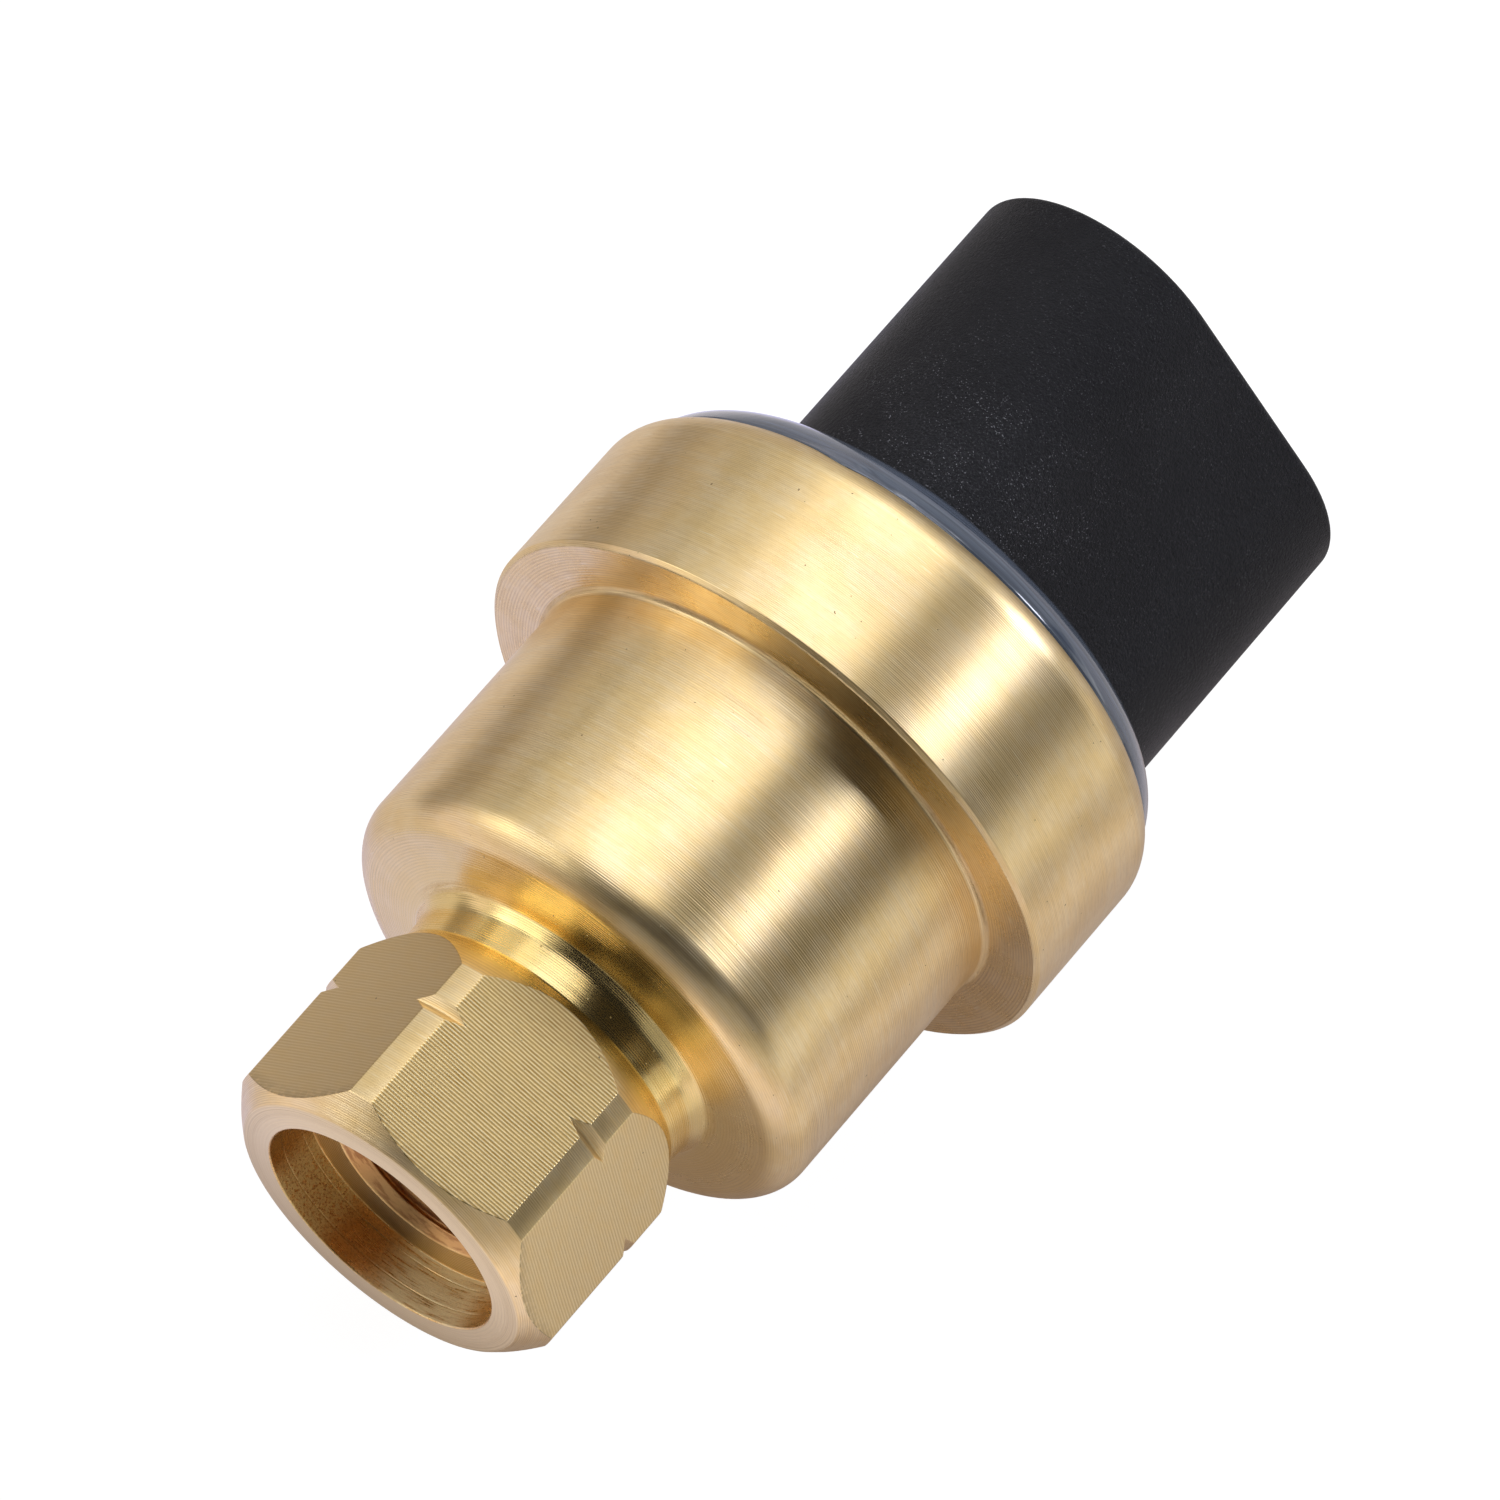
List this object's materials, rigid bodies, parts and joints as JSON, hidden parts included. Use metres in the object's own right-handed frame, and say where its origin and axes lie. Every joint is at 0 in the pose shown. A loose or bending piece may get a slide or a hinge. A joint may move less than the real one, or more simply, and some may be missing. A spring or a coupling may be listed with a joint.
{
  "type": "pressure switch",
  "caption": "Screw-in refrigerant pressure switch: brass hex body with female port, snap disc and change-over contacts inside, sealed three-way connector.",
  "frame": {"origin": "centre of the port's end face, on the switch's axis", "axes": "+Y along the switch from port to connector, +Z out of one hex flat, +X towards one corner of the connector's rounded triangle"},
  "size_m": [0.0338, 0.0603, 0.0338],
  "materials": {
    "brass": "satin turned brass",
    "depressor_brass": "stamped brass",
    "seal_rubber": "smooth moulded rubber",
    "diaphragm_film": "amber polymer film",
    "holder_steel": "plated turned steel",
    "pad_steel": "turned steel",
    "disc_steel": "bright spring steel",
    "guide_moulding": "brown moulded phenolic",
    "pin_ceramic": "white ceramic",
    "spring_copper": "copper alloy strip",
    "contact_silver": "silver",
    "rivet_brass": "headed brass",
    "terminal_tin": "tin plated",
    "base_moulding": "brown moulded phenolic",
    "housing_black": "fine matt moulding",
    "potting_epoxy": "poured epoxy",
    "o_ring_rubber": "smooth rubber",
    "sealant_grey": "glossy grey-blue sealant"
  },
  "bodies": {
    "switch_body": {"brass_body": "brass", "valve_depressor": "depressor_brass", "diaphragm_seal": "seal_rubber", "diaphragm": "diaphragm_film", "disc_holder": "holder_steel", "pin_guide": "guide_moulding", "blade_rivet": "rivet_brass", "common_terminal": "terminal_tin", "closed_terminal": "terminal_tin", "open_terminal": "terminal_tin", "closed_contact": "contact_silver", "open_contact": "contact_silver", "contact_base": "base_moulding", "connector_housing": "housing_black", "terminal_potting": "potting_epoxy", "housing_o_ring": "o_ring_rubber", "sealant_bead": "sealant_grey"},
    "actuator": {"pressure_pad": "pad_steel", "snap_disc": "disc_steel", "transfer_pin": "pin_ceramic"},
    "contact_arm": {"moving_blade": "spring_copper", "moving_contact": "contact_silver"}
  },
  "joints": [
    {"name": "pin_travel", "type": "slide", "parent": "switch_body", "child": "actuator", "axis": [0, 1, 0], "range_m": [0, 0.0004], "stiffness_N_per_m": 400, "deforming": ["snap_disc", "diaphragm"]},
    {"name": "blade_flex", "type": "hinge", "parent": "switch_body", "child": "contact_arm", "pos_m": [-0.0023, 0.02825, 0.00398], "axis": [0.866, 0, 0.5], "range_deg": [0, 4.99], "deforming": ["moving_blade"]}
  ],
  "couplings": [
    {"joint": "blade_flex", "follows": "pin_travel", "rad_per_m": 216.85}
  ]
}
